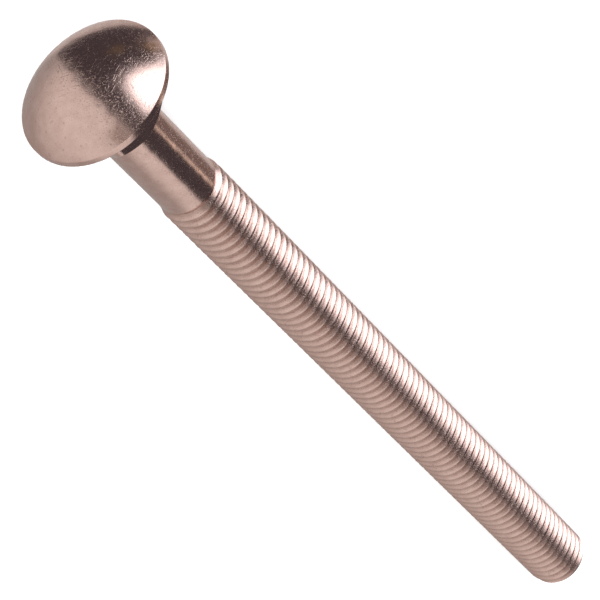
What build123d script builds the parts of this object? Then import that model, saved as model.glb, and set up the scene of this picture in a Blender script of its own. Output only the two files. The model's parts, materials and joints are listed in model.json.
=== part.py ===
from build123d import *
from math import asin, atan2, cos, degrees, hypot, sin, sqrt
import os

# A 3/8-16 carriage bolt, 5 1/2 in under the head, forged and rolled in one piece from steel bar:
# a domed head on a narrow upright rim, a square neck, a reduced round body and a long thread.
#
# It lies as it comes to rest on a flat surface, on the rim of its head and on the far end of its
# thread, with its length along X and the head at -X. +Z is up, in millimetres. The origin is the middle
# of its box, on that surface. A station is a distance along the bolt from the head's underside.

# Head: a spherical dome above the rim.
head_diameter = 20.2
head_height = 5.1
rim_thickness = 1.0
rim_edge_radius = 0.2

# Square neck: it ends in a 45 degree cone that takes its corners down to the round body.
square_width = 9.6
square_depth = 4.8  # the station where the corners start to run out
square_corner_radius = 0.8
square_roll = 60.0  # degrees about the bolt from straight up, towards +Y, to one corner
neck_fillet_radius = 0.4  # where the neck meets the head

# Shank: the reduced body, and the thread as a plain cylinder of its crest diameter.
bolt_length = 139.7
body_diameter = 8.56
thread_diameter = 9.32
plain_length = 23.3  # the station of the first full crest
shoulder_length = 1.6  # the cone from the body up to the thread's crests
point_length = 0.9
point_inset = 0.46  # how much smaller in radius the end face is than the thread

head_radius = head_diameter / 2
body_radius = body_diameter / 2
thread_radius = thread_diameter / 2
point_radius = thread_radius - point_inset
dome_rise = head_height - rim_thickness
dome_radius = (head_radius**2 + dome_rise**2) / (2 * dome_rise)
dome_centre = dome_radius - head_height  # the station of its centre of curvature
corner_reach = square_width / sqrt(2) - square_corner_radius * (sqrt(2) - 1)  # axis to rounded corner
runout_end = square_depth + corner_reach - body_radius
last_crest = bolt_length - point_length

# Rest: the bolt leans until one straight line, underneath it, touches the rounded edge of the rim and
# the last full crest of the thread.
rim_drop = head_radius - rim_edge_radius - thread_radius
rim_to_crest = last_crest + rim_edge_radius
rest_tilt = atan2(rim_drop, rim_to_crest) + asin(rim_edge_radius / hypot(rim_drop, rim_to_crest))

# Place: the middle of the box lies halfway from the crown of the dome to the upper edge of the point.
crown_x = dome_centre * cos(rest_tilt) - dome_radius
point_x = bolt_length * cos(rest_tilt) + point_radius * sin(rest_tilt)
axis_height = last_crest * sin(rest_tilt) + thread_radius * cos(rest_tilt)
underside = Vector(-(crown_x + point_x) / 2, 0, axis_height)  # middle of the head's underside
along = Vector(cos(rest_tilt), 0, -sin(rest_tilt))
upward = Vector(sin(rest_tilt), 0, cos(rest_tilt))

bolt_axis = Axis(underside, along)
profile_plane = Plane(origin=underside, x_dir=upward, z_dir=upward.cross(along))  # x radius, y station
neck_plane = Plane(origin=underside, x_dir=upward, z_dir=along)

# The square neck: a rounded square bar, turned back by the cone.
with BuildPart() as square_neck:
    with BuildSketch(neck_plane):
        RectangleRounded(square_width, square_width, square_corner_radius, rotation=45 - square_roll)
    extrude(amount=runout_end)
    with BuildSketch(profile_plane):
        Polygon(
            (0, 0),
            (corner_reach, 0),
            (corner_reach, square_depth),
            (body_radius, runout_end),
            (0, runout_end),
            align=None,
        )
    revolve(axis=bolt_axis, mode=Mode.INTERSECT)

# The whole bolt: the head and the shank as one turned profile, and the neck.
with BuildPart() as carriage_bolt:
    with BuildSketch(profile_plane) as profile:
        with BuildLine():
            crown = (0, -head_height)
            dome_edge = (head_radius, -rim_thickness)
            half_angle = asin(head_radius / dome_radius) / 2
            halfway = (dome_radius * sin(half_angle), dome_centre - dome_radius * cos(half_angle))
            ThreePointArc(crown, halfway, dome_edge)
            Polyline(
                dome_edge,
                (head_radius, 0),
                (body_radius, 0),
                (body_radius, plain_length - shoulder_length),
                (thread_radius, plain_length),
                (thread_radius, last_crest),
                (point_radius, bolt_length),
                (0, bolt_length),
                crown,
            )
        make_face()
        fillet(profile.vertices().sort_by(Axis.X)[-2:], radius=rim_edge_radius)
    revolve(axis=bolt_axis)
    add(square_neck.part)
    head_underside = carriage_bolt.faces().filter_by(GeomType.PLANE).sort_by(SortBy.AREA)[-1]
    fillet(head_underside.inner_wires()[0].edges(), radius=neck_fillet_radius)

carriage_bolt.part.label = "carriage_bolt"

os.makedirs("parts", exist_ok=True)
export_step(carriage_bolt.part, "parts/carriage_bolt.step")

bounds = carriage_bolt.part.bounding_box()
print("size", [round(length, 3) for length in bounds.size], "volume", round(carriage_bolt.part.volume, 1))
print("leans", round(degrees(rest_tilt), 3), "degrees, lowest point", round(bounds.min.Z, 5))
print("head underside", [round(place, 4) for place in underside], "along", [round(part, 6) for part in along])
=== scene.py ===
"""The look of a 3/8-16 carriage bolt: its forged head, square neck, rolled thread and bright plating.

Lengths are in metres. The bolt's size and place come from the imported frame. A station is a distance
along the bolt's axis from the head's underside: the dome is at negative stations, the point at the end.
"""

import json
import math

import bmesh
import bpy
import numpy as np
from bpy.props import FloatProperty, FloatVectorProperty, IntProperty, PointerProperty
from mathutils import Matrix, Vector


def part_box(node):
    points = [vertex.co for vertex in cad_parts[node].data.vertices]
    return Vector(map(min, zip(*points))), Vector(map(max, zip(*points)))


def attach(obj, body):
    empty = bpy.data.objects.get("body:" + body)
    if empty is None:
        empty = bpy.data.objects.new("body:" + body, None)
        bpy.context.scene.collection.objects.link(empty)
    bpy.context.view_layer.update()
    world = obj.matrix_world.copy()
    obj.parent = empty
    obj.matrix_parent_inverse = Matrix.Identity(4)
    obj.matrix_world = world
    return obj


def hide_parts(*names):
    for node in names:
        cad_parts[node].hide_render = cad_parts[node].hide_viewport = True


bl_info = {
    "name": "Carriage Bolt",
    "version": (1, 0, 0),
    "blender": (4, 5, 0),
    "location": "3D View > Sidebar > Bolt",
    "description": "Builds a plated carriage bolt with a rolled thread, and a small studio for it",
    "category": "Object",
}

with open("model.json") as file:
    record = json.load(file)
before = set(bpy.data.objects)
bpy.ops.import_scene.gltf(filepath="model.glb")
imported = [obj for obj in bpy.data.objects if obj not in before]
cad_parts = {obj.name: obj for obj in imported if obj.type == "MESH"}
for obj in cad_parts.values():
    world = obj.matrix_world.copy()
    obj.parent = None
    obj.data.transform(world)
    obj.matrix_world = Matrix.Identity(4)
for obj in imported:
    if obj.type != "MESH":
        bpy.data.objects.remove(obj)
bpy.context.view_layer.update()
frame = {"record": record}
MM = 0.001

# ---------------------------------------------------------------------------------------------------
# What the frame says of the bolt
# ---------------------------------------------------------------------------------------------------


def read_frame():
    """The bolt's axis, the middle of its head's underside, and the sizes that its mounts state."""
    mounts = {mount["name"]: mount for mount in frame["record"]["mounts"]}
    thread = mounts["thread"]
    along = Vector(thread["axis"]).normalized()
    middle = Vector(thread["pos_m"])
    to_face = (Vector(mounts["under_head"]["pos_m"]) - middle).dot(along)
    length = thread["dims"]["length_mm"] * MM
    low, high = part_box("carriage_bolt")
    return {
        "along": along,
        "underside": middle + to_face * along,
        "first_crest": -to_face - length / 2,
        "last_crest": -to_face + length / 2,
        "crest_radius": thread["dims"]["r_mm"] * MM,
        "head_radius": (high.y - low.y) / 2,
    }


BOLT = read_frame()
ALONG = BOLT["along"]
SIDEWAYS = Vector((0, 1, 0))
UPWARD = ALONG.cross(SIDEWAYS)  # square to the bolt's axis, and nearly straight up
BOLT_AXES = Matrix((ALONG, SIDEWAYS, UPWARD)).transposed().to_4x4()
BOLT_TO_FRAME = Matrix.Translation(BOLT["underside"]) @ BOLT_AXES  # stations and sides to the frame's axes


# ---------------------------------------------------------------------------------------------------
# Sizes and colours
# ---------------------------------------------------------------------------------------------------


def length_property(name, default, description):
    return FloatProperty(name=name, default=default, description=description, unit="LENGTH", precision=5)


class CarriageBoltSizes(bpy.types.PropertyGroup):
    """The bolt's sizes that the frame doesn't state."""

    bolt_length: length_property("Length", 139.7 * MM, "Head's underside to the end of the point")
    head_height: length_property("Head height", 5.1 * MM, "Head's underside to the crown of the dome")
    rim_thickness: length_property("Rim thickness", 1.0 * MM, "Height of the upright band round the head")
    rim_edge: length_property("Rim edge radius", 0.2 * MM, "Rounding of both edges of the rim")
    square_width: length_property("Square width", 9.6 * MM, "Square neck across its flats")
    square_depth: length_property("Square depth", 4.8 * MM, "Station where the corners start to run out")
    square_corner: length_property("Square corner radius", 0.8 * MM, "Rounding of the neck's four corners")
    square_roll: FloatProperty(
        name="Square roll",
        default=math.radians(60),
        subtype="ANGLE",
        description="Angle about the bolt from straight up, towards +Y, to one corner of the neck",
    )
    neck_fillet: length_property("Neck fillet", 0.4 * MM, "Rounding where the neck meets the head")
    body_radius: length_property("Body radius", 4.28 * MM, "Radius of the plain round body")
    runout: length_property("Thread runout", 1.6 * MM, "Length over which the thread rises from the body")
    point_inset: length_property(
        "Point inset", 0.46 * MM, "How much smaller the end face's radius is than the thread's"
    )
    segments: IntProperty(
        name="Segments",
        default=120,
        min=24,
        max=180,
        description="Flats round the bolt; a multiple of 12",
    )


class ThreadSizes(bpy.types.PropertyGroup):
    """The 3/8-16 thread's form."""

    pitch: length_property("Pitch", 25.4 * MM / 16, "Distance from one ridge to the next: 16 to the inch")
    crest_share: FloatProperty(
        name="Crest",
        default=0.24,
        min=0.02,
        max=0.4,
        subtype="FACTOR",
        description="Crest's share of the pitch",
    )
    root_share: FloatProperty(
        name="Root",
        default=0.18,
        min=0.02,
        max=0.4,
        subtype="FACTOR",
        description="Root's share of the pitch",
    )
    depth_share: FloatProperty(
        name="Depth",
        default=0.58,
        min=0.1,
        max=0.8,
        subtype="FACTOR",
        description="Depth as a share of the pitch",
    )


class StudioSettings(bpy.types.PropertyGroup):
    """The camera's place and the studio's light."""

    aim_station: length_property("Aim", 53.4 * MM, "Station on the bolt's axis that the camera looks at")
    aim_aside: length_property("Aim aside", -0.13 * MM, "How far towards +Y from the axis the camera looks")
    distance: length_property("Distance", 418.6 * MM, "Camera to that point")
    sight_angle: FloatProperty(
        name="Sight angle",
        default=math.radians(40.8),
        subtype="ANGLE",
        description="Angle between the line of sight and the bolt's axis, seen from the head's side",
    )
    roll: FloatProperty(
        name="Roll",
        default=math.radians(135.11),
        subtype="ANGLE",
        description="Turn of the picture, so that the bolt runs from upper left to lower right",
    )
    focal_length: FloatProperty(
        name="Focal length", default=187.6, min=1, description="In millimetres, on a 36 mm wide sensor"
    )
    floor_colour: FloatVectorProperty(
        name="Floor",
        default=(0.86, 0.86, 0.86),
        size=3,
        subtype="COLOR",
        description="The floor's pale paint",
    )


# ---------------------------------------------------------------------------------------------------
# Node helpers and colours
# ---------------------------------------------------------------------------------------------------


def linear(hex_colour):
    """An sRGB hex colour as linear red, green, blue and alpha."""
    shares = [int(hex_colour[i : i + 2], 16) / 255 for i in (1, 3, 5)]
    return tuple(c / 12.92 if c <= 0.04045 else ((c + 0.055) / 1.055) ** 2.4 for c in shares) + (1.0,)


def add_node(tree, kind, inputs=(), **settings):
    """Adds a node, sets its properties, and fills its inputs with values or links them to sockets.

    The inputs are in the node's own order, or a dict by socket name or number. A node given as an input
    stands for its first output.
    """
    node = tree.nodes.new(kind)
    for name, value in settings.items():
        setattr(node, name, value)
    if not isinstance(inputs, dict):
        inputs = dict(enumerate(inputs))
    for key, value in inputs.items():
        if isinstance(value, bpy.types.Node):
            value = value.outputs[0]
        if isinstance(value, bpy.types.NodeSocket):
            tree.links.new(value, node.inputs[key])
        else:
            node.inputs[key].default_value = value
    return node


# ---------------------------------------------------------------------------------------------------
# The blank: dome, rim, square neck and body, as rows of points round the axis
# ---------------------------------------------------------------------------------------------------


NECK_SOFTENING = 0.08 * MM  # rounding of the creases where the neck's corners start to run out


def square_reach(angles, sizes):
    """How far the rounded square neck reaches from the axis, at angles from straight up towards +Y."""
    half = sizes.square_width / 2
    corner = sizes.square_corner
    turned = np.abs((angles - sizes.square_roll) % (math.pi / 2) - math.pi / 4)  # from a flat's middle
    on_flat = half / np.cos(turned)
    centre = math.sqrt(2) * (half - corner)
    swing = math.pi / 4 - turned
    on_corner = centre * np.cos(swing) + np.sqrt(corner**2 - (centre * np.sin(swing)) ** 2 + 0j).real
    tangent = math.atan2(half - corner, half)
    return np.where(turned < tangent, on_flat, on_corner)


def steps(start, end, count):
    """The ends of equal steps from start to end, without the start itself."""
    return np.linspace(start, end, count + 1)[1:]


def blank_rows(sizes, angles):
    """Rows of (radius, station) round the bolt, from just under the crown down to the thread."""
    ones = np.ones_like(angles)
    head, edge = BOLT["head_radius"], sizes.rim_edge
    rise = sizes.head_height - sizes.rim_thickness
    dome = (head**2 + rise**2) / (2 * rise)
    dome_centre = dome - sizes.head_height
    edge_station = dome_centre - math.sqrt((dome - edge) ** 2 - (head - edge) ** 2)
    dome_end = math.atan2(head - edge, dome_centre - edge_station)

    # The dome, and both rounded edges of the rim.
    rows = []
    for angle in steps(0, dome_end, 48):
        rows.append((dome * math.sin(angle) * ones, (dome_centre - dome * math.cos(angle)) * ones))
    for angle in steps(dome_end, math.pi / 2, 6):
        radius = head - edge + edge * math.sin(angle)
        rows.append((radius * ones, (edge_station - edge * math.cos(angle)) * ones))
    for angle in np.linspace(math.pi / 2, math.pi, 9):
        radius = head - edge + edge * math.sin(angle)
        rows.append((radius * ones, (-edge - edge * math.cos(angle)) * ones))

    # The head's flat underside, and the fillet into the square neck.
    neck = square_reach(angles, sizes)
    fillet = sizes.neck_fillet
    flat_end = neck + fillet
    for share in (0.25, 0.5, 0.75):
        rows.append(((head - edge) * (1 - share) * ones + flat_end * share, 0 * ones))
    for angle in np.linspace(0, math.pi / 2, 6):
        rows.append((neck + fillet * (1 - math.sin(angle)), fillet * (1 - math.cos(angle)) * ones))

    # The neck's flats, and the 45 degree cone on which its corners run out.
    corner_reach = neck.max()
    body = sizes.body_radius
    runout_end = sizes.square_depth + corner_reach - body
    crease = sizes.square_depth + corner_reach - neck
    soften = NECK_SOFTENING
    for share in (0.33, 0.66, 1.0):
        rows.append((neck, fillet + (crease - soften - fillet) * share))
    rows.append((neck - soften * 0.3, crease + soften * 0.3))
    for share in steps(0, 1, 6):
        station = crease + soften + (runout_end - crease - soften) * share
        rows.append((sizes.square_depth + corner_reach - station, station))

    # The plain round body.
    thread_start = BOLT["first_crest"] - sizes.runout
    for share in steps(0, 1, 14):
        rows.append((body * ones, (runout_end + (thread_start - runout_end) * share) * ones))
    return rows


def mesh_from_rows(name, rows, angles, crown):
    """A mesh of rings closed at the crown and open at the last row, in the bolt's own axes."""
    count = len(angles)
    points = [crown]
    for radius, station in rows:
        points += zip(station, radius * np.sin(angles), radius * np.cos(angles))
    faces = []
    for i in range(count):
        j = (i + 1) % count
        faces.append((0, 1 + i, 1 + j))
        for row in range(len(rows) - 1):
            start = 1 + row * count
            faces.append((start + i, start + count + i, start + count + j, start + j))
    mesh = bpy.data.meshes.new(name)
    mesh.from_pydata([tuple(map(float, p)) for p in points], [], faces)
    return mesh


def forged_blank(sizes):
    """The head, neck and body as one open shell that ends where the thread starts."""
    angles = np.arange(sizes.segments) * 2 * math.pi / sizes.segments
    return mesh_from_rows("blank", blank_rows(sizes, angles), angles, (-sizes.head_height, 0, 0))


# ---------------------------------------------------------------------------------------------------
# The thread: a Geometry Nodes tree that winds one ridge up the shank
# ---------------------------------------------------------------------------------------------------


THREAD_WELD = 0.0015 * MM  # points of the thread's grid that are closer than this are one
CAP_ROWS = 8  # rings that close the end of the point


def ridge_profile(thread):
    """(share of the pitch from the middle of a crest, height as a share of the depth), crest to crest."""
    crest, root = thread.crest_share / 2, thread.root_share / 2
    half = [
        (crest * 0.35, 1.0),
        (crest * 1.05, 0.9),
        (0.5 * (crest + 0.5 - root), 0.49),
        (0.5 - root * 1.1, 0.08),
    ]
    back = [(1 - phase, height) for phase, height in reversed(half)]
    return [*half, (0.5, 0.0), *back]


def thread_tree(profile, material):
    """A grid whose columns go round the shank and whose rows follow the ridge, wound into a thread."""
    tree = bpy.data.node_groups.new("rolled thread", "GeometryNodeTree")
    tree.interface.new_socket("Geometry", in_out="OUTPUT", socket_type="NodeSocketGeometry")
    for name in ("Start", "End", "Last Crest", "Pitch", "Crest Radius", "Root Radius", "Body Radius"):
        tree.interface.new_socket(name, in_out="INPUT", socket_type="NodeSocketFloat")
    for name in ("Runout", "Point Radius"):
        tree.interface.new_socket(name, in_out="INPUT", socket_type="NodeSocketFloat")
    for name in ("Segments", "Rows", "Cap Rows"):
        tree.interface.new_socket(name, in_out="INPUT", socket_type="NodeSocketInt")
    given = tree.nodes.new("NodeGroupInput").outputs

    # The grid is a metre square about its middle, so its points count themselves off.
    per_turn = len(profile)
    all_rows = add_node(tree, "ShaderNodeMath", (given["Rows"], given["Cap Rows"]), operation="ADD")
    grid = add_node(
        tree,
        "GeometryNodeMeshGrid",
        {
            "Size X": 1.0,
            "Size Y": 1.0,
            "Vertices X": add_node(tree, "ShaderNodeMath", (given["Segments"], 1), operation="ADD"),
            "Vertices Y": add_node(tree, "ShaderNodeMath", (all_rows, 1), operation="ADD"),
        },
    )
    place = add_node(tree, "ShaderNodeSeparateXYZ", (add_node(tree, "GeometryNodeInputPosition"),))
    turn = add_node(tree, "ShaderNodeMath", (place.outputs[0], 0.5), operation="ADD")
    turn = add_node(tree, "ShaderNodeMath", (turn, given["Segments"]), operation="MULTIPLY")
    turn = add_node(tree, "ShaderNodeMath", (turn,), operation="ROUND")
    turn = add_node(tree, "ShaderNodeMath", (turn, given["Segments"]), operation="DIVIDE")
    row = add_node(tree, "ShaderNodeMath", (place.outputs[1], 0.5), operation="ADD")
    row = add_node(tree, "ShaderNodeMath", (row, all_rows), operation="MULTIPLY")
    row = add_node(tree, "ShaderNodeMath", (row,), operation="ROUND")

    # Which point of the ridge this row is.
    cap_row = add_node(tree, "ShaderNodeMath", (row, given["Rows"]), operation="SUBTRACT")
    cap_row = add_node(tree, "ShaderNodeMath", (cap_row, 0.0), operation="MAXIMUM")
    ridge_row = add_node(tree, "ShaderNodeMath", (row, given["Rows"]), operation="MINIMUM")
    ridge = add_node(tree, "ShaderNodeMath", (ridge_row, 0.5), operation="ADD")
    ridge = add_node(tree, "ShaderNodeMath", (ridge, per_turn), operation="DIVIDE")
    ridge = add_node(tree, "ShaderNodeMath", (ridge,), operation="FLOOR")
    step = add_node(tree, "ShaderNodeMath", (ridge, per_turn), operation="MULTIPLY")
    step = add_node(tree, "ShaderNodeMath", (ridge_row, step), operation="SUBTRACT")
    step = add_node(tree, "ShaderNodeMath", (step, per_turn), operation="DIVIDE")
    spread = add_node(tree, "ShaderNodeFloatCurve", {"Value": step})

    # How far up the bolt that puts it, between the thread's two ends.
    first = profile[0][0]
    turns_up = add_node(tree, "ShaderNodeMath", (ridge, spread), operation="ADD")
    offset = add_node(tree, "ShaderNodeMath", (turn, 1.0 + first), operation="SUBTRACT")
    turns_up = add_node(tree, "ShaderNodeMath", (turns_up, offset), operation="ADD")
    station = (turns_up, given["Pitch"], given["Start"])
    station = add_node(tree, "ShaderNodeMath", station, operation="MULTIPLY_ADD")
    station = add_node(tree, "ShaderNodeMath", (station, given["Start"]), operation="MAXIMUM")
    station = add_node(tree, "ShaderNodeMath", (station, given["End"]), operation="MINIMUM")

    # The ridge's height there, after the ends have cut the rows off.
    phase = add_node(tree, "ShaderNodeMath", (station, given["Start"]), operation="SUBTRACT")
    phase = add_node(tree, "ShaderNodeMath", (phase, given["Pitch"]), operation="DIVIDE")
    phase = add_node(tree, "ShaderNodeMath", (phase, turn), operation="SUBTRACT")
    phase = add_node(tree, "ShaderNodeMath", (phase, 2.0 + first), operation="ADD")
    phase = add_node(tree, "ShaderNodeMath", (phase,), operation="FRACT")
    height = add_node(tree, "ShaderNodeFloatCurve", {"Value": phase})
    deep = (given["Crest Radius"], given["Root Radius"])
    deep = add_node(tree, "ShaderNodeMath", deep, operation="SUBTRACT")
    full = (height, deep, given["Root Radius"])
    full = add_node(tree, "ShaderNodeMath", full, operation="MULTIPLY_ADD")

    # It rises out of the body at the start, and the point's cone cuts it down at the end.
    rise_end = add_node(tree, "ShaderNodeMath", (given["Start"], given["Runout"]), operation="ADD")
    rise = {"Value": station, "From Min": given["Start"], "From Max": rise_end}
    rise = add_node(tree, "ShaderNodeMapRange", rise, interpolation_type="SMOOTHSTEP")
    above = add_node(tree, "ShaderNodeMath", (full, given["Body Radius"]), operation="SUBTRACT")
    radius = (above, rise, given["Body Radius"])
    radius = add_node(tree, "ShaderNodeMath", radius, operation="MULTIPLY_ADD")
    cone = add_node(
        tree,
        "ShaderNodeMapRange",
        {
            "Value": station,
            "From Min": given["Last Crest"],
            "From Max": given["End"],
            "To Min": given["Crest Radius"],
            "To Max": given["Point Radius"],
        },
    )
    radius = add_node(tree, "ShaderNodeMath", (radius, cone), operation="MINIMUM")
    inward = add_node(tree, "ShaderNodeMath", (cap_row, given["Cap Rows"]), operation="DIVIDE")
    inward = add_node(tree, "ShaderNodeMath", (1.0, inward), operation="SUBTRACT")
    radius = add_node(tree, "ShaderNodeMath", (radius, inward), operation="MULTIPLY")

    # Minus, since a right-handed thread turns from +Z towards -Y as it goes along +X.
    around = add_node(tree, "ShaderNodeMath", (turn, -2 * math.pi), operation="MULTIPLY")
    aside = add_node(tree, "ShaderNodeMath", (around,), operation="SINE")
    aside = add_node(tree, "ShaderNodeMath", (radius, aside), operation="MULTIPLY")
    upward = add_node(tree, "ShaderNodeMath", (around,), operation="COSINE")
    upward = add_node(tree, "ShaderNodeMath", (radius, upward), operation="MULTIPLY")
    wound = {"Geometry": grid, "Position": add_node(tree, "ShaderNodeCombineXYZ", (station, aside, upward))}
    wound = add_node(tree, "GeometryNodeSetPosition", wound)
    merged = {"Geometry": wound, "Distance": THREAD_WELD}
    merged = add_node(tree, "GeometryNodeMergeByDistance", merged)
    real = add_node(tree, "GeometryNodeRealizeInstances", {"Geometry": merged})
    painted = add_node(tree, "GeometryNodeSetMaterial", {"Geometry": real, "Material": material})
    add_node(tree, "NodeGroupOutput", (painted,))

    # Both curves run straight from point to point: each row's place on the ridge, and the ridge's height.
    places = [(i / per_turn, phase) for i, (phase, _) in enumerate(profile)] + [(1, 1)]
    heights = [(0, profile[0][1]), *profile, (1, profile[-1][1])]
    for node, points in ((spread, places), (height, heights)):
        curve = node.mapping.curves[0]
        while len(curve.points) < len(points):
            curve.points.new(0.5, 0.5)
        for point, spot in zip(curve.points, points):
            point.location = spot
            point.handle_type = "VECTOR"
        node.mapping.update()
    return tree


def rolled_thread(sizes, thread, material):
    """The threaded shank's skin, open where it leaves the body and closed over the point."""
    profile = ridge_profile(thread)
    start = BOLT["first_crest"] - sizes.runout
    turns = math.ceil((sizes.bolt_length - start) / thread.pitch) + 1
    values = {
        "Start": start,
        "End": sizes.bolt_length,
        "Last Crest": BOLT["last_crest"],
        "Pitch": thread.pitch,
        "Crest Radius": BOLT["crest_radius"],
        "Root Radius": BOLT["crest_radius"] - thread.depth_share * thread.pitch,
        "Body Radius": sizes.body_radius,
        "Runout": sizes.runout,
        "Point Radius": BOLT["crest_radius"] - sizes.point_inset,
        "Segments": sizes.segments,
        "Rows": turns * len(profile),
        "Cap Rows": CAP_ROWS,
    }
    tree = thread_tree(profile, material)
    carrier = bpy.data.objects.new("thread", bpy.data.meshes.new("thread carrier"))
    bpy.context.scene.collection.objects.link(carrier)
    modifier = carrier.modifiers.new("thread", "NODES")
    modifier.node_group = tree
    for socket in tree.interface.items_tree:
        if socket.in_out == "INPUT":
            modifier[socket.identifier] = values[socket.name]
    evaluated = carrier.evaluated_get(bpy.context.evaluated_depsgraph_get())
    mesh = bpy.data.meshes.new_from_object(evaluated)
    carrier.modifiers.remove(modifier)
    bpy.data.objects.remove(carrier)
    return mesh


# ---------------------------------------------------------------------------------------------------
# The plating
# ---------------------------------------------------------------------------------------------------


SOFT_EDGE = 0.12  # how much more noise than the threshold takes a scratch to its full depth

# Where the finish changes, in millimetres: three pairs of stations, and a pair of distances from the axis.
MARKS_APPEAR = (3, 8)
# The painted shade in the thread's grooves fades in over this pair of stations.
GROOVE_SHADE_APPEARS = (22, 23)
GLOSS_FADES = (20, 24)
GROOVE_TO_CREST = (4.12, 4.5)
HEAD_GLOSS, THREAD_GLOSS = 0.14, 0.23  # roughness


def scratches(tree, place, turn, width, length, share):
    """Fine straight scratches one way, from 0 for none to 1 at their middles. Sizes are in millimetres."""
    turned = {"Vector": place, "Rotation": turn, "Scale": (length, width, width)}
    turned = add_node(tree, "ShaderNodeMapping", turned, vector_type="TEXTURE")
    noise = {"Vector": turned, "Scale": 1.0, "Detail": 1.0}
    noise = add_node(tree, "ShaderNodeTexNoise", noise, normalize=True)
    found = {"Value": noise, "From Min": share, "From Max": share + SOFT_EDGE}
    return add_node(tree, "ShaderNodeMapRange", found, interpolation_type="SMOOTHSTEP")


def pits(tree, place, spacing, radius, share):
    """Small round dents scattered over the surface, from 0 for none to 1 at their middles."""
    cells = {"Vector": place, "Scale": 1 / spacing, "Randomness": 1.0}
    cells = add_node(tree, "ShaderNodeTexVoronoi", cells)
    depth = {"Value": cells.outputs["Distance"], "From Min": radius / spacing, "From Max": 0.0}
    depth = add_node(tree, "ShaderNodeMapRange", depth, interpolation_type="SMOOTHSTEP")
    pick = add_node(tree, "ShaderNodeSeparateColor", (cells.outputs["Color"],))
    pick = add_node(tree, "ShaderNodeMath", (pick, share), operation="LESS_THAN")
    return add_node(tree, "ShaderNodeMath", (depth, pick), operation="MULTIPLY")


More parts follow.
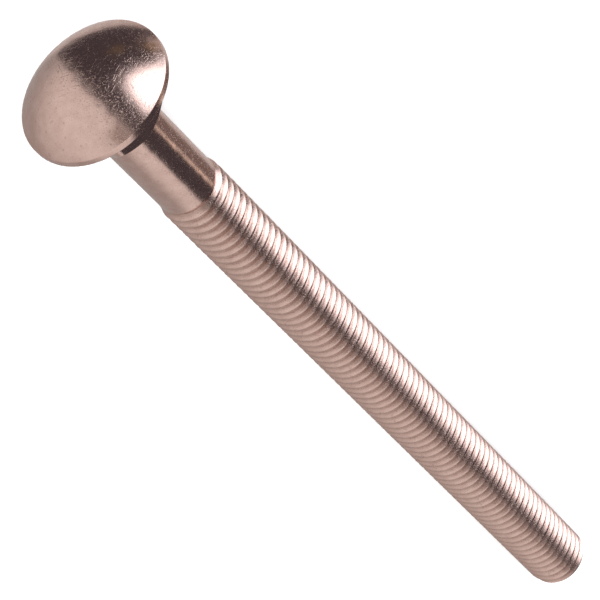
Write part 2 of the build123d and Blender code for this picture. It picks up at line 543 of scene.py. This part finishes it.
def plated_steel():
    """Bright zinc plate on cold-headed steel, tumbled in a barrel.

    The plate is thin and keeps the steel's gloss, so it mirrors the tent softly. Tumbling leaves pits and
    short scratches that catch the light, and the headed blank's skin is faintly uneven.
    """
    material = bpy.data.materials.new("bright zinc plated steel")
    material.use_nodes = True
    tree = material.node_tree
    tree.nodes.clear()
    to_bolt = BOLT_TO_FRAME.inverted()
    place = add_node(
        tree,
        "ShaderNodeMapping",
        {
            "Vector": add_node(tree, "ShaderNodeTexCoord").outputs["Object"],
            "Location": to_bolt.translation / MM,
            "Rotation": to_bolt.to_euler(),
            "Scale": (1 / MM, 1 / MM, 1 / MM),
        },
        label="millimetres from the head's underside",
    )
    station, aside, upward = add_node(tree, "ShaderNodeSeparateXYZ", (place,)).outputs
    from_axis = add_node(tree, "ShaderNodeMath", (aside, aside), operation="MULTIPLY")
    from_axis = add_node(tree, "ShaderNodeMath", (upward, upward, from_axis), operation="MULTIPLY_ADD")
    from_axis = add_node(tree, "ShaderNodeMath", (from_axis,), operation="SQRT")

    # Real scratches are about 0.02 mm wide. These are 0.12 to 0.13 mm wide, so that they show.
    one_way = scratches(tree, place, (0.0, 0.5, 1.45), 0.12, 3.0, 0.62)
    other_way = scratches(tree, place, (0.3, -0.7, 1.7), 0.13, 2.5, 0.62)
    across = scratches(tree, place, (0.8, 1.2, 0.6), 0.12, 3.0, 0.63)
    scratched = add_node(tree, "ShaderNodeMath", (one_way, other_way), operation="ADD")
    scratched = add_node(tree, "ShaderNodeMath", (scratched, across), operation="ADD")
    pitted = pits(tree, place, 0.75, 0.26, 0.3)
    dented = pits(tree, place, 2.3, 0.6, 0.3)

    # Unevenness: the noise's size in millimetres is one over its scale. The marks vary only along the bolt.
    along = add_node(tree, "ShaderNodeCombineXYZ", (station,))
    uneven = {}
    for name, vector, scale, detail in (
        ("grain", place, 4.5, 3.0),
        ("swell", place, 0.45, 1.0),
        ("turning marks", along, 5.0, 2.0),
        ("mottle", place, 0.9, 4.0),
    ):
        noise = {"Vector": vector, "Scale": scale, "Detail": detail}
        uneven[name] = add_node(tree, "ShaderNodeTexNoise", noise, label=name)

    # The turning marks are on the plain shank, 0.2 mm apart, and none are on the head.
    off_head = add_node(tree, "ShaderNodeMapRange", (station, *MARKS_APPEAR, 0.0, 1.0))
    marks = add_node(tree, "ShaderNodeMath", (uneven["turning marks"], off_head), operation="MULTIPLY")

    # Each one's greatest height in millimetres: scratches, pits and dents go inwards.
    height = add_node(tree, "ShaderNodeMath", (scratched, -0.006), operation="MULTIPLY")
    for part, deep in (
        (pitted, -0.005),
        (dented, -0.008),
        (uneven["grain"], 0.004),
        (uneven["swell"], 0.05),
        (marks, 0.003),
    ):
        height = add_node(tree, "ShaderNodeMath", (part, deep, height), operation="MULTIPLY_ADD")
    bump = add_node(tree, "ShaderNodeBump", {"Height": height, "Distance": MM, "Strength": 1.0})

    # The plate's own two tones, and the grime that stays in the pits.
    mottle = add_node(tree, "ShaderNodeMapRange", (uneven["mottle"], 0.3, 0.7, 0.0, 1.0))
    plate = {0: mottle, 6: linear("#E8C8BD"), 7: linear("#DDBBB0")}
    plate = add_node(tree, "ShaderNodeMix", plate, data_type="RGBA").outputs[2]
    grime = add_node(tree, "ShaderNodeMath", (pitted, 0.35), operation="MULTIPLY")
    grime = {0: grime, 6: plate, 7: linear("#8E736B")}
    grime = add_node(tree, "ShaderNodeMix", grime, data_type="RGBA").outputs[2]

    # Painted shade: the base colour is darker down in the thread's grooves, standing in for the shade that
    # falls between the ridges.
    in_groove = add_node(tree, "ShaderNodeMapRange", (from_axis, *GROOVE_TO_CREST, 0.5, 0.0))
    on_thread = add_node(tree, "ShaderNodeMapRange", (station, *GROOVE_SHADE_APPEARS, 0, 1))
    groove_shade = add_node(tree, "ShaderNodeMath", (in_groove, on_thread), operation="MULTIPLY")
    groove_shade = {0: groove_shade, 6: grime, 7: linear("#96796F")}
    groove_shade = add_node(tree, "ShaderNodeMix", groove_shade, data_type="RGBA").outputs[2]

    # The head is glossiest. Rolling leaves the thread a little duller, and so do grain and scratches.
    dull = add_node(tree, "ShaderNodeMapRange", (station, *GLOSS_FADES, HEAD_GLOSS, THREAD_GLOSS))
    coarse = add_node(tree, "ShaderNodeMapRange", (uneven["grain"], 0.35, 0.7, 0.0, 1.0))
    dull = add_node(tree, "ShaderNodeMath", (coarse, 0.09, dull), operation="MULTIPLY_ADD")
    dull = add_node(tree, "ShaderNodeMath", (scratched, 0.12, dull), operation="MULTIPLY_ADD")
    shader = {"Base Color": groove_shade, "Metallic": 1.0, "Roughness": dull, "Normal": bump}
    shader = add_node(tree, "ShaderNodeBsdfPrincipled", shader)
    add_node(tree, "ShaderNodeOutputMaterial", (shader,))
    return material


# ---------------------------------------------------------------------------------------------------
# The bolt
# ---------------------------------------------------------------------------------------------------


WELD = 0.001 * MM  # points closer than this are one
SLIVER = 0.0005 * MM  # edges shorter than this are removed
SHARP_ANGLE = math.radians(35)  # edges that turn by more than this look sharp


def joined(name, meshes):
    """One mesh of several, with shared edges welded and its faces turned outwards."""
    work = bmesh.new()
    for mesh in meshes:
        work.from_mesh(mesh)
        bpy.data.meshes.remove(mesh)
    bmesh.ops.remove_doubles(work, verts=work.verts, dist=WELD)
    bmesh.ops.dissolve_degenerate(work, edges=work.edges, dist=SLIVER)
    bmesh.ops.recalc_face_normals(work, faces=work.faces)
    mesh = bpy.data.meshes.new(name)
    work.to_mesh(mesh)
    work.free()
    return mesh


class BOLT_OT_carriage_bolt(bpy.types.Operator):
    """Build the carriage bolt, forged and rolled in one piece"""

    bl_idname = "bolt.carriage_bolt"
    bl_label = "Carriage Bolt"

    def execute(self, context):
        sizes, thread = context.scene.bolt_sizes, context.scene.bolt_thread
        plating = plated_steel()
        mesh = joined("carriage bolt", [forged_blank(sizes), rolled_thread(sizes, thread, plating)])
        mesh.transform(BOLT_TO_FRAME)
        mesh.materials.clear()
        mesh.materials.append(plating)
        mesh.shade_smooth()
        mesh.set_sharp_from_angle(angle=SHARP_ANGLE)
        bolt = bpy.data.objects.new("plated_carriage_bolt", mesh)
        context.scene.collection.objects.link(bolt)
        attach(bolt, "root")
        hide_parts("carriage_bolt")
        return {"FINISHED"}


# ---------------------------------------------------------------------------------------------------
# The studio
# ---------------------------------------------------------------------------------------------------

# Parts of the light tent: (name, azimuth, half its width, elevation, half its height, softness,
# strength, colour). Degrees, with the azimuth from the head's side, -X, towards +Y.
PANELS = [
    ("dark side", 91.5, 94.5, 10, 110, 5, 0.11, "#C9BFCB"),
    ("gap above the head's side", -16, 12, 53, 26, 6, 0.34, "#FFF4EE"),
    ("low side wall", 141, 47, -52, 32, 10, 0.62, "#FFF8F4"),
    ("low side lamp", 79, 9, -29, 9, 5, 0.62, "#FFF8F4"),
    ("brown corner", 143, 14, -6, 14, 6, 0.21, "#FFE4D8"),
    ("side panel", 91, 25, 10, 22, 10, 2.5, "#F0F7FF"),
    ("softbox", 48, 20, 18, 20, 13, 3.6, "#F4F9FF"),
    ("warm lamp", 67, 5, -27, 5, 5, 0.3, "#FFE2A8"),
    ("warm lamp's echo", 42, 4, -37, 4, 4, 0.2, "#FFE2A8"),
    ("far warm lamp", 141, 5, 14.5, 4, 4, 1.2, "#FFF0E0"),
]

# The rest of what is round the bolt, as linear light.
BRIGHT_WALL = (0.80, 0.785, 0.775, 1)
DIM_WALL = (0.41, 0.395, 0.385, 1)
PAPER = (0.93, 0.93, 0.93, 1)


def tent_panel(tree, azimuth, elevation, place):
    """How much of a soft-edged panel is seen in a direction, from 0 to 1."""
    middle, half_width, height, half_height, soft = place
    aside = add_node(tree, "ShaderNodeMath", (azimuth, middle), operation="SUBTRACT")
    aside = add_node(tree, "ShaderNodeMath", (aside, 180.0, -180.0), operation="WRAP")
    above = add_node(tree, "ShaderNodeMath", (elevation, height), operation="SUBTRACT")
    within = []
    for angle, half in ((aside, half_width), (above, half_height)):
        away = add_node(tree, "ShaderNodeMath", (angle,), operation="ABSOLUTE")
        edge = (away, half + soft, half - soft)
        within.append(add_node(tree, "ShaderNodeMapRange", edge, interpolation_type="SMOOTHSTEP"))
    return add_node(tree, "ShaderNodeMath", within, operation="MULTIPLY")


def light_tent(world):
    """A pale tent with one dark side and a softbox in it; the camera itself sees only pale paper."""
    tree = world.node_tree
    tree.nodes.clear()
    direction = add_node(tree, "ShaderNodeTexCoord").outputs["Generated"]
    x, y, z = add_node(tree, "ShaderNodeSeparateXYZ", (direction,)).outputs
    azimuth = add_node(tree, "ShaderNodeMath", (x, -1.0), operation="MULTIPLY")
    azimuth = add_node(tree, "ShaderNodeMath", (y, azimuth), operation="ARCTAN2")
    azimuth = add_node(tree, "ShaderNodeMath", (azimuth,), operation="DEGREES")
    elevation = add_node(tree, "ShaderNodeMath", (z,), operation="ARCSINE")
    elevation = add_node(tree, "ShaderNodeMath", (elevation,), operation="DEGREES")

    # The pale walls are brightest behind the camera, and dimmest low down at the far end.
    far = []
    for ends in ((x, -0.8, 0.0), (z, 0.6, 0.05)):
        far.append(add_node(tree, "ShaderNodeMapRange", ends, interpolation_type="SMOOTHSTEP"))
    far = add_node(tree, "ShaderNodeMath", far, operation="MULTIPLY")
    light = {0: far, 6: BRIGHT_WALL, 7: DIM_WALL}
    light = add_node(tree, "ShaderNodeMix", light, data_type="RGBA").outputs[2]
    for name, middle, half_width, height, half_height, soft, strength, colour in PANELS:
        seen = tent_panel(tree, azimuth, elevation, (middle, half_width, height, half_height, soft))
        shine = tuple(strength * part for part in linear(colour)[:3]) + (1,)
        light = {0: seen, 6: light, 7: shine}
        light = add_node(tree, "ShaderNodeMix", light, data_type="RGBA", label=name).outputs[2]

    paper = add_node(tree, "ShaderNodeBackground", {"Color": PAPER})
    tent = add_node(tree, "ShaderNodeBackground", {"Color": light})
    sight = add_node(tree, "ShaderNodeLightPath").outputs["Is Camera Ray"]
    either = add_node(tree, "ShaderNodeMixShader", (sight, tent, paper))
    add_node(tree, "ShaderNodeOutputWorld", (either,))


def pale_floor(settings):
    """A broad pale floor, left out of the bolt's reflections as if the tent's floor were its own."""
    half = 3.0  # metres from its middle to each edge
    mesh = bpy.data.meshes.new("floor")
    corners = [(-half, -half, 0), (half, -half, 0), (half, half, 0), (-half, half, 0)]
    mesh.from_pydata(corners, [], [(0, 1, 2, 3)])
    paint = bpy.data.materials.new("pale floor paint")
    paint.use_nodes = True
    shader = paint.node_tree.nodes["Principled BSDF"]
    shader.inputs["Base Color"].default_value = (*settings.floor_colour, 1)
    shader.inputs["Roughness"].default_value = 0.9
    mesh.materials.append(paint)
    floor = bpy.data.objects.new("floor", mesh)
    bpy.context.scene.collection.objects.link(floor)
    floor.visible_glossy = False


def floor_light():
    """One broad lamp on the head's side that whitens the floor; the bolt doesn't mirror it."""
    lamp = bpy.data.lights.new("floor lamp", "AREA")
    lamp.shape = "DISK"
    lamp.size = 0.7
    lamp.energy = 34
    holder = bpy.data.objects.new("floor lamp", lamp)
    place = Vector((-0.9, 0, 0.95))
    holder.matrix_world = Matrix.Translation(place) @ place.to_track_quat("Z", "Y").to_matrix().to_4x4()
    bpy.context.scene.collection.objects.link(holder)
    holder.visible_glossy = False
    holder.visible_camera = False


def camera(settings):
    """The camera, which looks at the bolt from the head's side and above through a long lens."""
    data = bpy.data.cameras.new("camera")
    data.lens = settings.focal_length
    data.sensor_width = 36
    data.clip_start = 0.01
    aim = BOLT["underside"] + settings.aim_station * ALONG + settings.aim_aside * SIDEWAYS
    sight = math.cos(settings.sight_angle) * ALONG - math.sin(settings.sight_angle) * UPWARD
    level_right = sight.cross(UPWARD).normalized()
    level_up = level_right.cross(sight)
    right = math.cos(settings.roll) * level_right + math.sin(settings.roll) * level_up
    up = right.cross(sight)
    holder = bpy.data.objects.new("camera", data)
    turn = Matrix((right, up, -sight)).transposed()
    holder.matrix_world = Matrix.Translation(aim - settings.distance * sight) @ turn.to_4x4()
    bpy.context.scene.collection.objects.link(holder)
    bpy.context.scene.camera = holder


class BOLT_OT_studio(bpy.types.Operator):
    """Set up the pale floor, the light tent and the camera"""

    bl_idname = "bolt.studio"
    bl_label = "Studio"

    def execute(self, context):
        settings = context.scene.bolt_studio
        world = bpy.data.worlds.new("light tent")
        world.use_nodes = True
        context.scene.world = world
        light_tent(world)
        pale_floor(settings)
        floor_light()
        camera(settings)
        context.scene.view_settings.view_transform = "Standard"
        return {"FINISHED"}


class BOLT_PT_sidebar(bpy.types.Panel):
    """The bolt's sizes and its two steps"""

    bl_label = "Carriage Bolt"
    bl_idname = "BOLT_PT_sidebar"
    bl_space_type = "VIEW_3D"
    bl_region_type = "UI"
    bl_category = "Bolt"

    def draw(self, context):
        scene = context.scene
        for group in (scene.bolt_sizes, scene.bolt_thread, scene.bolt_studio):
            box = self.layout.box()
            for name in group.bl_rna.properties.keys():
                if name not in ("rna_type", "name"):
                    box.prop(group, name)
        for step in (BOLT_OT_carriage_bolt, BOLT_OT_studio):
            self.layout.operator(step.bl_idname)


CLASSES = (
    CarriageBoltSizes,
    ThreadSizes,
    StudioSettings,
    BOLT_OT_carriage_bolt,
    BOLT_OT_studio,
    BOLT_PT_sidebar,
)


def register():
    for cls in CLASSES:
        bpy.utils.register_class(cls)
    bpy.types.Scene.bolt_sizes = PointerProperty(type=CarriageBoltSizes)
    bpy.types.Scene.bolt_thread = PointerProperty(type=ThreadSizes)
    bpy.types.Scene.bolt_studio = PointerProperty(type=StudioSettings)


def unregister():
    del bpy.types.Scene.bolt_sizes, bpy.types.Scene.bolt_thread, bpy.types.Scene.bolt_studio
    for cls in reversed(CLASSES):
        bpy.utils.unregister_class(cls)


def main():
    register()
    bpy.ops.bolt.carriage_bolt()
    bpy.ops.bolt.studio()


if __name__ == "__main__":
    main()
